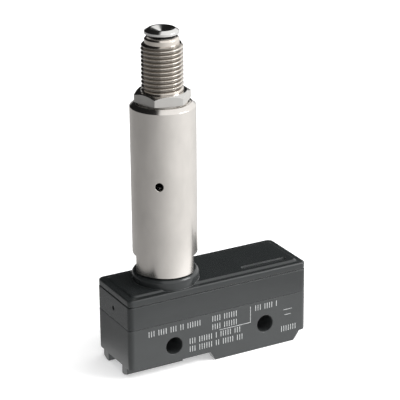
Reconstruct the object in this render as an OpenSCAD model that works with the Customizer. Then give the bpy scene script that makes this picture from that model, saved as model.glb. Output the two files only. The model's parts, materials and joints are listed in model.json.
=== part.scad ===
// Snap-action limit switch with a long plunger tube.
// Millimetres, +Z up. The origin is the middle of the footprint, on the plane of the feet.
// X runs along the case, and Y from the printed front face (-Y) to the back.

/* [Case] */
// Length of the case
case_l = 49.2; // [48:0.1:52]
// Width of the case, front to back
case_w = 17.45; // [17:0.05:18]
// Height of the underside of the body above the feet
body_z = 2.3; // [2.2:0.1:2.6]
// Height of the joint between the base and the cover
split_z = 12.8; // [12.6:0.1:13.2]
// Height of the rim of the cover's top
rim_z = 20.6; // [20.4:0.1:20.8]
// Height of the raised panel inside the rim
panel_z = 21.0; // [20.9:0.1:21.1]
// Distance between the two mounting holes
hole_pitch = 25.4; // [25:0.1:26]
// Diameter of a mounting hole
hole_d = 4.36; // [4.2:0.02:4.4]
// Height of the mounting holes above the feet
hole_z = 6.5; // [6.3:0.1:6.6]

/* [Tube] */
// Distance of the plunger axis from the left end of the case
axis_from_end = 14.28; // [14:0.02:14.6]
// Outer diameter of the tube
tube_d = 15.76; // [15:0.02:16]
// Width across the two wrench flats at the tube's foot
flats_af = 13.7; // [13.5:0.1:13.9]
// Height of the collar that carries the tube
collar_z = 23.3; // [23.2:0.1:23.4]
// Height of the tube's top shoulder edge
shoulder_z = 64.8; // [64:0.1:66]
// Diameter of the vent hole in the tube's side
vent_d = 2.0; // [1.5:0.1:2.2]

/* [Plunger] */
// Nominal diameter of the thread above the nut
thread_d = 10; // [9.8:0.1:10]
// Height of the top of the thread
thread_top = 79.9; // [79.5:0.1:80]
// Width of the nut across its flats
nut_af = 12.0; // [11.8:0.1:12.2]
// Diameter of the plunger head
head_d = 8.2; // [8:0.1:8.4]
// Travel of the plunger
travel = 0.7; // [0.5:0.05:0.7]

/* [Hidden] */
$fn = 96;
// Overshoot of a cut past the face it starts from
eps = 0.1;
// Slack between a slot or notch and the piece that sits in it
slack = 0.05;

// Case shell
corner_r = 1.4;
wall = 1.8;
half_l = case_l / 2;
half_w = case_w / 2;
inner_x = half_l - wall;
inner_y = 6.9;
floor_z = 9.6;
ceiling_z = 18.6;
lip_z = 18.75;
lip_gap = 0.2;
lip_set = 0.3;
panel_inset = 1.6;
panel_slope = 0.4;
axis_x = axis_from_end - half_l;

// End tongues of the base, and the pins that hold the cover to them
pin_bore_r = 0.6;
tongue_t = 1.25;
tongue_y = 2.5;
tongue_top = 17.6;

// Feet
left_foot_end = -9.2;
left_foot_out = half_w - 2.45;
left_foot_in = half_w - 5.0;
left_foot_flat = half_w - 3.9;
left_foot_rise = 0.6;
right_foot_x = [-2.7, -1.4, 20.9, 22.6];
right_foot_t = 2.5;

// Terminals: centre of each screw, half sizes of the brass block, pocket and screw
com_x = -20.2;
no_x = 0;
nc_x = 19.8;
block_x = 2.4;
block_y = 2.6;
pocket_top = 5.2;
pocket_x = 3.9;
pocket_y = [3.72, 5.2, 5.2];
screw_r = 2.0;
screw_head_r = 3.4;
screw_head_h = 2.15;
screw_len = 3.6;
washer_r = 3.6;
washer_t = 0.6;
washer_teeth = 16;

// Contacts and springs
strip_t = 0.8;
strip_y = 2.0;
contact_x = 14;
contact_r = 1.5;
contact_t = 0.5;
rivet_r = 0.8;
leaf_t = 0.3;
leaf_z = 14.3;
leaf_y = 2.2;
leaf_hinge_x = -19.5;
leaf_tip_x = -6.6;
blade_t = 0.25;
blade_z = 13.4;
blade_hinge_x = -4.0;
blade_tip_x = 15.8;
contact_gap = 0.7;
toggle_r = 6.0;
toggle_half = 4.5;
toggle_y = 1.1;
toggle_x = blade_hinge_x + 2.3;
no_face = blade_z - contact_t - contact_gap - 2 * slack;
no_strip_z = no_face - contact_t - strip_t;
nc_face = blade_z + blade_t + contact_t + slack;
nc_strip_z = nc_face + contact_t;

// Switch plunger
pin_r = 2.5;
pin_top = 21.9;
pin_flange_r = 3.5;
pin_flange_t = 1.0;
nose_r = 0.8;
nose_gap = 0.1;

// Collar and tube
collar_r = 8.17;
collar_round = 1.0;
socket_r = 6.22;
gasket_t = 0.3;
tube_bottom = collar_z + gasket_t;
flats_top = 28.0;
flats_angle = -29;
spigot_r = 6.2;
spigot_bore = 4.4;
bore_r = 5.6;
bore_top = 58;
step_z = 27;
shank_r = 4.5;
tube_top = shoulder_z + 0.9;
tube_top_r = 6.8;
vent_z = 47;
vent_angle = 234.5;

// Bush and nut
bush_bottom = 56;
nut_bottom = tube_top;
nut_h = 2.8;
nut_top = nut_bottom + nut_h;
nut_angle = 46.5;
nut_flat_r = 5.75;
nut_washer_r = 5.9;
nut_washer_h = 0.3;
thread_chamfer = 0.3;
neck_r = 4.15;
neck_top = 81.4;
neck_chamfer = 0.4;
stem_r = 2.0;
run_fit = 0.05;
wiper_r = 3.2;
wiper_bottom = 79.8;
wiper_top = 81.2;

// Rod, head and return spring
head_bottom = 82.2;
head_edge = 82.85;
head_top = 83.42;
head_flat_r = 3.15;
dimple_r = 2.65;
dimple_depth = 0.9;
stem_bottom = 57;
rod_neck = 24.6;
rod_bottom = 22.8;
rod_neck_r = 1.5;
rod_collar_r = 3.4;
rod_collar_t = 1.4;
cup_r = 4.6;
cup_t = 0.8;
guide_top = 32;
spring_turns = 11;
spring_wire = 0.4;
spring_r = 3.3;
spring_steps = 16;
spring_sides = 6;
ring_z = 26.1;
ring_t = 0.6;
ring_r = 3.2;
tip_r = 2.6;
tip_bottom = pin_top + slack;
tip_nut_r = 3.2;
tip_nut_h = 1.3;
rod_collar_z = bush_bottom - slack - rod_collar_t;
spring_low = guide_top + spring_wire;
spring_high = rod_collar_z - cup_t - spring_wire;

// A rectangle w by d with corners of radius r.
module round_rect(w, d, r) {
    square([w - 2 * r, d], center = true);
    square([w, d - 2 * r], center = true);
    for (x = [-1, 1], y = [-1, 1])
        translate([x * (w / 2 - r), y * (d / 2 - r)]) circle(r);
}

// A slab of the case's outline, set in by inset, from z0 to z1.
module slab(z0, z1, inset = 0) {
    translate([0, 0, z0]) linear_extrude(z1 - z0)
        round_rect(case_l - 2 * inset, case_w - 2 * inset, corner_r - inset / 2);
}

// A box given by its two corners.
module span(low, high) {
    translate(low) cube(high - low);
}

// A cylinder on the plunger axis from z0 to z1.
module on_axis(z0, z1, r) {
    translate([axis_x, 0, z0]) cylinder(h = z1 - z0, r = r);
}

// A body of revolution about the plunger axis, from a profile of [radius, height] points.
module turned(profile) {
    translate([axis_x, 0, 0]) rotate_extrude() polygon(profile);
}

// A prism along Y, from a profile of [x, z] points, between two values of y.
module prism_y(profile, y0, y1) {
    translate([0, y1, 0]) rotate([90, 0, 0]) linear_extrude(y1 - y0) polygon(profile);
}

// A prism along X, from a profile of [y, z] points, between two values of x.
module prism_x(profile, x0, x1) {
    translate([x0, 0, 0]) rotate([90, 0, 90]) linear_extrude(x1 - x0) polygon(profile);
}

module mounting_holes() {
    for (x = [-1, 1])
        translate([x * hole_pitch / 2, 0, hole_z]) rotate([90, 0, 0])
            cylinder(h = case_w + 2, d = hole_d, center = true);
}

// The pair of set-back feet under the left end.
module left_feet() {
    foot = [[-left_foot_out, body_z + eps], [-left_foot_out, left_foot_rise],
        [-left_foot_flat, 0], [-left_foot_in, 0], [-left_foot_in, body_z + eps]];
    for (s = [0, 1])
        mirror([0, s, 0]) prism_x(foot, -half_l, left_foot_end);
}

// The pair of flush skirts under the right end, with sloping ends.
module right_feet() {
    skirt = [[right_foot_x[0], body_z], [right_foot_x[1], 0], [right_foot_x[2], 0],
        [right_foot_x[3], body_z], [right_foot_x[3], body_z + eps],
        [right_foot_x[0], body_z + eps]];
    for (s = [0, 1])
        mirror([0, s, 0]) prism_y(skirt, -half_w, -half_w + right_foot_t);
}

// Room for one terminal: the pocket for its screw and the slot for its block.
module terminal_room(x, y) {
    span([x - pocket_x, -y, body_z - eps], [x + pocket_x, y, pocket_top]);
    span([x - block_x - slack, -block_y - slack, pocket_top - eps],
        [x + block_x + slack, block_y + slack, floor_z + eps]);
}

module end_pin_bores(r) {
    for (s = [-1, 1])
        translate([s * (half_l - wall), 0, (lip_z + split_z) / 2]) rotate([0, 90, 0])
            cylinder(h = 2 * wall + 2, r = r, center = true);
}

// Lower half of the case, with feet, mounting holes, terminal pockets and end tongues.
module base_case() {
    color([0.16, 0.17, 0.17]) difference() {
        union() {
            difference() {
                union() {
                    slab(body_z, split_z);
                    left_feet();
                    right_feet();
                }
                span([-inner_x, -inner_y, floor_z], [inner_x, inner_y, split_z + eps]);
            }
            for (s = [0, 1])
                mirror([s, 0, 0])
                    span([inner_x - slack - tongue_t, -tongue_y, floor_z - eps],
                        [inner_x - slack, tongue_y, tongue_top]);
        }
        mounting_holes();
        terminal_room(com_x, pocket_y[0]);
        terminal_room(no_x, pocket_y[1]);
        terminal_room(nc_x, pocket_y[2]);
        end_pin_bores(pin_bore_r);
    }
}

// Upper half of the case, with the raised panel, the recess and the collar for the tube.
module cover() {
    slot_c = [14.6, -4.87];
    slot_l = 12.8;
    slot_w = 1.5;
    slot_depth = 0.3;
    color([0.12, 0.13, 0.13]) difference() {
        union() {
            slab(split_z, lip_z);
            slab(lip_z - eps, lip_z + lip_gap + eps, lip_set);
            slab(lip_z + lip_gap, rim_z, slack);
            slab(rim_z - eps, rim_z + (panel_z - rim_z) / 2, panel_inset);
            slab(rim_z, panel_z, panel_inset + panel_slope);
            on_axis(rim_z, collar_z - collar_round, collar_r);
            on_axis(rim_z, collar_z, collar_r - collar_round);
            translate([axis_x, 0, collar_z - collar_round]) rotate_extrude()
                translate([collar_r - collar_round, 0]) intersection() {
                    circle(collar_round);
                    square(collar_round);
                }
        }
        span([-inner_x, -inner_y, split_z - eps], [inner_x, inner_y, ceiling_z]);
        on_axis(panel_z, collar_z + eps, socket_r);
        on_axis(ceiling_z - eps, panel_z + eps, pin_r + run_fit);
        end_pin_bores(pin_bore_r);
        for (s = [-1, 1])
            translate([slot_c[0] + s * (slot_l - slot_w) / 2, slot_c[1], panel_z - slot_depth])
                cylinder(h = 1, d = slot_w);
        translate([slot_c[0], slot_c[1], panel_z - slot_depth + 0.5])
            cube([slot_l - slot_w, slot_w, 1], center = true);
    }
}

// Two drive pins that hold the cover to the base's end tongues.
module cover_pins() {
    pin_recess = 0.4;
    pin_l = wall + slack + tongue_t - pin_recess;
    color([0.3, 0.3, 0.3]) for (s = [-1, 1])
        translate([s * (half_l - pin_recess - pin_l / 2), 0, (lip_z + split_z) / 2])
            rotate([0, 90, 0]) cylinder(h = pin_l, r = pin_bore_r, center = true);
}

// The tapped brass block of a terminal.
module terminal_block(x) {
    difference() {
        span([x - block_x, -block_y, pocket_top], [x + block_x, block_y, floor_z + slack]);
        translate([x, 0, pocket_top - eps]) cylinder(h = screw_len + eps, r = screw_r);
    }
}

// A flat brass strip with a rivet hole at the contact.
module contact_strip(x0, x1, z) {
    difference() {
        span([x0, -strip_y, z], [x1, strip_y, z + strip_t]);
        translate([contact_x, 0, z - eps]) cylinder(h = strip_t + 2 * eps, r = rivet_r);
    }
}

// Common terminal: block, floor strip and the notched post that holds the leaf.
module com_terminal() {
    post_x = leaf_hinge_x - 0.2;
    post_t = 1.3;
    color([0.80, 0.66, 0.32]) union() {
        terminal_block(com_x);
        span([com_x - block_x + 1.2, -strip_y, floor_z + slack],
            [blade_hinge_x - 1.1, strip_y, floor_z + slack + strip_t]);
        span([post_x - post_t, -leaf_y, floor_z + slack],
            [post_x, leaf_y, leaf_z - slack]);
        span([post_x - post_t, -leaf_y, leaf_z - slack - eps],
            [post_x - 0.1, leaf_y, leaf_z + leaf_t]);
    }
}

// Normally-open terminal, below the moving contact.
module no_terminal() {
    color([0.80, 0.66, 0.32]) union() {
        terminal_block(no_x);
        span([no_x - block_x, -strip_y, floor_z + slack],
            [no_x + block_x, strip_y, no_strip_z + strip_t]);
        contact_strip(no_x, contact_x + contact_r, no_strip_z);
    }
}

// Normally-closed terminal, above the moving contact.
module nc_terminal() {
    color([0.80, 0.66, 0.32]) union() {
        terminal_block(nc_x);
        span([nc_x - strip_t / 2, -strip_y, floor_z + slack],
            [nc_x + strip_t / 2, strip_y, nc_strip_z + strip_t]);
        contact_strip(contact_x - contact_r, nc_x, nc_strip_z);
    }
}

// Three slotted screws, heads down.
module terminal_screws() {
    slot_w = 1.0;
    slot_depth = 1.1;
    head_top_z = pocket_top - washer_t;
    head_low = head_top_z - screw_head_h;
    color([0.75, 0.76, 0.78]) for (x = [com_x, no_x, nc_x])
        difference() {
            union() {
                translate([x, 0, head_low]) cylinder(h = screw_head_h, r = screw_head_r);
                translate([x, 0, head_low]) cylinder(h = screw_head_h + screw_len, r = screw_r);
            }
            span([x - screw_head_r - 1, -slot_w / 2, head_low - eps],
                [x + screw_head_r + 1, slot_w / 2, head_low + slot_depth]);
        }
}

// Three toothed washers above the screw heads.
module terminal_washers() {
    tooth = [[washer_r - 0.55, -0.28], [washer_r, -0.14], [washer_r, 0.14],
        [washer_r - 0.55, 0.28]];
    color([0.70, 0.71, 0.73]) for (x = [com_x, no_x, nc_x])
        translate([x, 0, pocket_top - washer_t]) linear_extrude(washer_t) difference() {
            union() {
                circle(washer_r - 0.5);
                for (i = [0:washer_teeth - 1])
                    rotate(i * 360 / washer_teeth) polygon(tooth);
            }
            circle(screw_r);
        }
}

// Upright bracket on the common strip, with the notch that the blade rocks in.
module blade_bracket() {
    bracket_x = blade_hinge_x - slack;
    bracket_t = 1.0;
    color([0.80, 0.66, 0.32]) union() {
        span([bracket_x - bracket_t, -strip_y, floor_z + slack],
            [bracket_x, strip_y, blade_z - slack]);
        span([bracket_x - bracket_t, -strip_y, blade_z - slack - eps],
            [bracket_x - 0.3, strip_y, blade_z + blade_t]);
    }
}

// A contact rivet: a head from z0 to z1 and its shank to z2.
module contact_rivet(z0, z1, z2) {
    translate([contact_x, 0, min(z0, z1)]) cylinder(h = abs(z1 - z0), r = contact_r);
    translate([contact_x, 0, min(z1, z2)]) cylinder(h = abs(z2 - z1), r = rivet_r);
}

module no_contact() {
    color([0.86, 0.86, 0.84])
        contact_rivet(no_face, no_face - contact_t, no_face - contact_t - strip_t);
}

module nc_contact() {
    color([0.86, 0.86, 0.84])
        contact_rivet(nc_face, nc_face + contact_t, nc_face + contact_t + strip_t);
}

// Leaf that the switch plunger presses.
module actuating_leaf() {
    color([0.85, 0.62, 0.30])
        span([leaf_hinge_x - 0.1, -leaf_y, leaf_z], [leaf_tip_x, leaf_y, leaf_z + leaf_t]);
}

// Bowed spring between the tip of the leaf and the blade.
module toggle_spring() {
    rise = sqrt(toggle_r * toggle_r - toggle_half * toggle_half);
    foot_z = blade_z + blade_t + 0.2;
    color([0.88, 0.66, 0.34]) translate([toggle_x, toggle_y, foot_z - rise])
        rotate([90, 0, 0]) linear_extrude(2 * toggle_y) intersection() {
            difference() {
                circle(toggle_r + blade_t / 2);
                circle(toggle_r - blade_t / 2);
            }
            translate([-toggle_half, 0]) square([2 * toggle_half, 2 * toggle_r]);
        }
}

// Long blade that carries the moving contact.
module snap_blade() {
    color([0.85, 0.62, 0.30]) difference() {
        span([blade_hinge_x, -strip_y, blade_z], [blade_tip_x, strip_y, blade_z + blade_t]);
        translate([contact_x, 0, blade_z - eps]) cylinder(h = 1, r = rivet_r);
    }
}

module moving_contact() {
    color([0.86, 0.86, 0.84]) translate([contact_x, 0, 0]) union() {
        translate([0, 0, blade_z - contact_t]) cylinder(h = contact_t, r = contact_r);
        translate([0, 0, blade_z - contact_t])
            cylinder(h = blade_t + 2 * contact_t, r = rivet_r);
        translate([0, 0, blade_z + blade_t]) cylinder(h = contact_t, r = contact_r);
    }
}

// The switch's own plunger, guided in the cover.
module pin_plunger() {
    flange_top = ceiling_z - slack;
    color([0.45, 0.10, 0.08]) union() {
        on_axis(leaf_z + leaf_t + nose_gap, flange_top - pin_flange_t, nose_r);
        on_axis(flange_top - pin_flange_t, flange_top, pin_flange_r);
        on_axis(flange_top - pin_flange_t, pin_top, pin_r);
    }
}

// Thin gasket between the collar and the tube.
module tube_gasket() {
    color([0.05, 0.05, 0.05]) difference() {
        on_axis(collar_z, tube_bottom, flats_af / 2 - 0.1);
        on_axis(collar_z - eps, tube_bottom + eps, socket_r);
    }
}

// Block that cuts one of the two wrench flats, which end in a square shoulder.
module wrench_flat(side) {
    translate([axis_x, 0, 0]) rotate(side < 0 ? flats_angle + 180 : flats_angle)
        span([flats_af / 2, -tube_d, tube_bottom - eps], [tube_d, tube_d, flats_top]);
}

// Long tube that carries the bush, with a spigot that fits the collar's socket.
module actuator_tube() {
    outline = [[spigot_bore, panel_z], [spigot_r, panel_z], [spigot_r, tube_bottom],
        [tube_d / 2, tube_bottom], [tube_d / 2, shoulder_z], [tube_top_r, tube_top],
        [shank_r, tube_top], [shank_r, bore_top], [bore_r, bore_top], [bore_r, step_z],
        [spigot_bore, step_z]];
    color([0.78, 0.77, 0.74]) difference() {
        turned(outline);
        translate([axis_x, 0, vent_z]) rotate([0, 90, vent_angle])
            cylinder(h = tube_d, d = vent_d);
        for (side = [-1, 1]) wrench_flat(side);
    }
}

// Lower guide of the rod and seat of the return spring.
module guide_bush() {
    color([0.92, 0.90, 0.84]) difference() {
        on_axis(step_z, guide_top, bore_r);
        on_axis(step_z - eps, guide_top + eps, stem_r + run_fit);
    }
}

// Bush screwed into the tube: shank, mounting thread and neck.
module threaded_bush() {
    r = thread_d / 2;
    outline = [[stem_r + run_fit, bush_bottom], [shank_r, bush_bottom], [shank_r, nut_top],
        [r, nut_top], [r, thread_top - thread_chamfer], [r - thread_chamfer, thread_top],
        [neck_r, thread_top], [neck_r, neck_top - neck_chamfer],
        [neck_r - neck_chamfer, neck_top], [wiper_r, neck_top], [wiper_r, wiper_bottom],
        [stem_r + run_fit, wiper_bottom]];
    color([0.80, 0.78, 0.74]) turned(outline);
}

// Nut that locks the bush on the tube's top.
module hex_nut() {
    r = nut_af / 2 / cos(30);
    chamfer_h = (r - nut_flat_r) * tan(30);
    envelope = [[0, nut_bottom], [nut_washer_r, nut_bottom],
        [nut_washer_r, nut_bottom + nut_washer_h], [r + eps, nut_bottom + nut_washer_h],
        [r + eps, nut_top - chamfer_h], [nut_flat_r, nut_top], [0, nut_top]];
    color([0.74, 0.74, 0.72]) difference() {
        intersection() {
            translate([axis_x, 0, nut_bottom]) rotate(nut_angle)
                cylinder(h = nut_h, r = r, $fn = 6);
            turned(envelope);
        }
        on_axis(nut_bottom - eps, nut_top + eps, shank_r);
    }
}

// Rubber wiper around the stem.
module wiper_ring() {
    color([0.06, 0.06, 0.06]) difference() {
        on_axis(wiper_bottom, wiper_top, wiper_r);
        on_axis(wiper_bottom - eps, wiper_top + eps, stem_r + run_fit / 2);
    }
}

// Point on the spring's wire surface, for a step along the coil and a side of the wire.
function coil_point(step, side) =
    let (a = step * 360 / spring_steps, b = side * 360 / spring_sides,
        z = spring_low + (spring_high - spring_low) * step / (spring_turns * spring_steps),
        r = spring_r + spring_wire * cos(b))
    [axis_x + r * cos(a), r * sin(a), z + spring_wire * sin(b)];

// Return spring between the guide bush and the cup.
module return_spring() {
    n = spring_sides;
    last = spring_turns * spring_steps;
    points = [for (i = [0:last], j = [0:n - 1]) coil_point(i, j)];
    sides = [for (i = [0:last - 1], j = [0:n - 1])
        [i * n + j, i * n + (j + 1) % n, (i + 1) * n + (j + 1) % n, (i + 1) * n + j]];
    caps = [[for (j = [n - 1:-1:0]) j], [for (j = [0:n - 1]) last * n + j]];
    color([0.72, 0.73, 0.75]) polyhedron(points, concat(sides, caps), convexity = 10);
}

// Plunger head with a centre dimple, and its polished stem.
module plunger_head() {
    outline = [[0, stem_bottom], [stem_r, stem_bottom], [stem_r, head_bottom],
        [head_d / 2, head_bottom], [head_d / 2, head_edge], [head_flat_r, head_top],
        [dimple_r, head_top], [0, head_top - dimple_depth]];
    color([0.80, 0.80, 0.79]) turned(outline);
}

// Rod below the stem, with the collar that stops under the bush.
module push_rod() {
    outline = [[0, rod_bottom], [rod_neck_r, rod_bottom], [rod_neck_r, ring_z],
        [stem_r, ring_z], [stem_r, rod_collar_z], [rod_collar_r, rod_collar_z],
        [rod_collar_r, rod_collar_z + rod_collar_t], [stem_r, rod_collar_z + rod_collar_t],
        [stem_r, stem_bottom], [0, stem_bottom]];
    color([0.70, 0.71, 0.73]) difference() {
        turned(outline);
        difference() {
            on_axis(ring_z, ring_z + ring_t, stem_r + 1);
            on_axis(ring_z - eps, ring_z + ring_t + eps, rod_neck_r);
        }
    }
}

// Washer between the rod's collar and the spring.
module spring_cup() {
    color([0.62, 0.63, 0.65]) difference() {
        on_axis(rod_collar_z - cup_t, rod_collar_z, cup_r);
        on_axis(rod_collar_z - cup_t - eps, rod_collar_z + eps, stem_r);
    }
}

// Open ring in the rod's groove, the stop under the guide bush.
module retaining_ring() {
    mouth = 1.2;
    color([0.25, 0.26, 0.28]) difference() {
        on_axis(ring_z, ring_z + ring_t, ring_r);
        on_axis(ring_z - eps, ring_z + ring_t + eps, rod_neck_r);
        span([axis_x, -mouth, ring_z - eps], [axis_x + ring_r + 1, mouth, ring_z + ring_t + eps]);
    }
}

// Small nut that locks the tip on the rod.
module tip_nut() {
    color([0.66, 0.67, 0.69]) difference() {
        translate([axis_x, 0, rod_neck]) cylinder(h = tip_nut_h, r = tip_nut_r, $fn = 6);
        on_axis(rod_neck - eps, rod_neck + tip_nut_h + eps, rod_neck_r);
    }
}

// Tip that presses the switch's own plunger.
module push_tip() {
    color([0.55, 0.56, 0.58]) difference() {
        on_axis(tip_bottom, rod_neck, tip_r);
        on_axis(rod_bottom, rod_neck + eps, rod_neck_r);
    }
}

base_case();
cover();
cover_pins();
com_terminal();
no_terminal();
nc_terminal();
terminal_screws();
terminal_washers();
blade_bracket();
no_contact();
nc_contact();
actuating_leaf();
toggle_spring();
snap_blade();
moving_contact();
pin_plunger();
tube_gasket();
actuator_tube();
guide_bush();
threaded_bush();
hex_nut();
wiper_ring();
return_spring();
plunger_head();
push_rod();
spring_cup();
retaining_ring();
tip_nut();
push_tip();
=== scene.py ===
"""Looks of a snap-action limit switch with a long plunger tube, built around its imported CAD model."""

import sys

import contextlib
import json
import logging
import math
from collections.abc import Callable, Iterator, Sequence
from dataclasses import dataclass
from enum import Enum
from itertools import pairwise

import bmesh
import bpy
from mathutils import Matrix, Vector


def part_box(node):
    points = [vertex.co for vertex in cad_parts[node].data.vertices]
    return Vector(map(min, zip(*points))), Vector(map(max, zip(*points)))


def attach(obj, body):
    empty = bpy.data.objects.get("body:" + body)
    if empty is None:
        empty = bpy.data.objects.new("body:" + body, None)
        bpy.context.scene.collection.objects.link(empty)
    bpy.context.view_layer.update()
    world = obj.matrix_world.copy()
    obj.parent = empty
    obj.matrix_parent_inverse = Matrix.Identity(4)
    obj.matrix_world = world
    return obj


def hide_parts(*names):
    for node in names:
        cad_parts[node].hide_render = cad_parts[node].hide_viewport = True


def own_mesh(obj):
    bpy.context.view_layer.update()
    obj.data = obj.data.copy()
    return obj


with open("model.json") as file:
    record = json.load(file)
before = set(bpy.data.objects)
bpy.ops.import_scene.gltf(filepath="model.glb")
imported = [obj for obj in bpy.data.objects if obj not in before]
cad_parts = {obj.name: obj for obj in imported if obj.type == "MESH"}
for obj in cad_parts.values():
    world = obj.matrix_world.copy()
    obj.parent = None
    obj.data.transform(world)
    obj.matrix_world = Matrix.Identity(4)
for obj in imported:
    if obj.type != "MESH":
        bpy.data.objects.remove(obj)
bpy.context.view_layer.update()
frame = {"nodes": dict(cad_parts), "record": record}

MM = 0.001
LOG = logging.getLogger("limit_switch")

Node = bpy.types.Object
Socket = bpy.types.NodeSocket
Span = tuple[float, float]
PlaceTest = Callable[[Vector, Vector], bool]
Outline = Sequence[tuple[float, ...]]


class Body(Enum):
    """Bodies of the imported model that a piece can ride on."""

    HOUSING = "housing"
    PLUNGER = "plunger"
    SWITCH_PIN = "switch_pin"
    LEAF = "leaf"
    BLADE = "blade"
    TOGGLE = "toggle"


class Slot(Enum):
    """Material slots of the record, each of which has one finish."""

    BLACK_PLASTIC = "black_plastic"
    COVER_PLASTIC = "cover_plastic"
    SATIN_NICKEL = "satin_nickel"
    NUT_NICKEL = "nut_nickel"
    POLISHED_STEEL = "polished_steel"
    ZINC_STEEL = "zinc_steel"
    SPRING_STEEL = "spring_steel"
    DARK_STEEL = "dark_steel"
    BRASS = "brass"
    BERYLLIUM_COPPER = "beryllium_copper"
    SILVER = "silver"
    RED_PHENOLIC = "red_phenolic"
    ACETAL = "acetal"
    BLACK_RUBBER = "black_rubber"


class Join(Enum):
    """Ways in which one solid works on another."""

    WELD = "UNION"
    CUT = "DIFFERENCE"
    COMMON = "INTERSECT"


# ---------------------------------------------------------------- finishes


class Graph:
    """A node tree, with short ways to add to it."""

    def __init__(self, tree: bpy.types.NodeTree) -> None:
        """Works on the given tree."""
        self.tree = tree

    def add(self, kind: str, **settings: object) -> bpy.types.Node:
        """Adds a node of the given kind and sets its plain properties."""
        node = self.tree.nodes.new(kind)
        for key, value in settings.items():
            setattr(node, key, value)
        return node

    def link(self, source: Socket, target: Socket) -> None:
        """Joins two sockets."""
        self.tree.links.new(source, target)

    def mapped(self, source: Socket, before: Span, after: Span = (0, 1)) -> Socket:
        """Maps one span of a value to another, and holds it at their ends."""
        node = self.add("ShaderNodeMapRange")
        for name, value in zip(("From Min", "From Max", "To Min", "To Max"), (*before, *after)):
            node.inputs[name].default_value = value
        self.link(source, node.inputs["Value"])
        return node.outputs["Result"]


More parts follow.
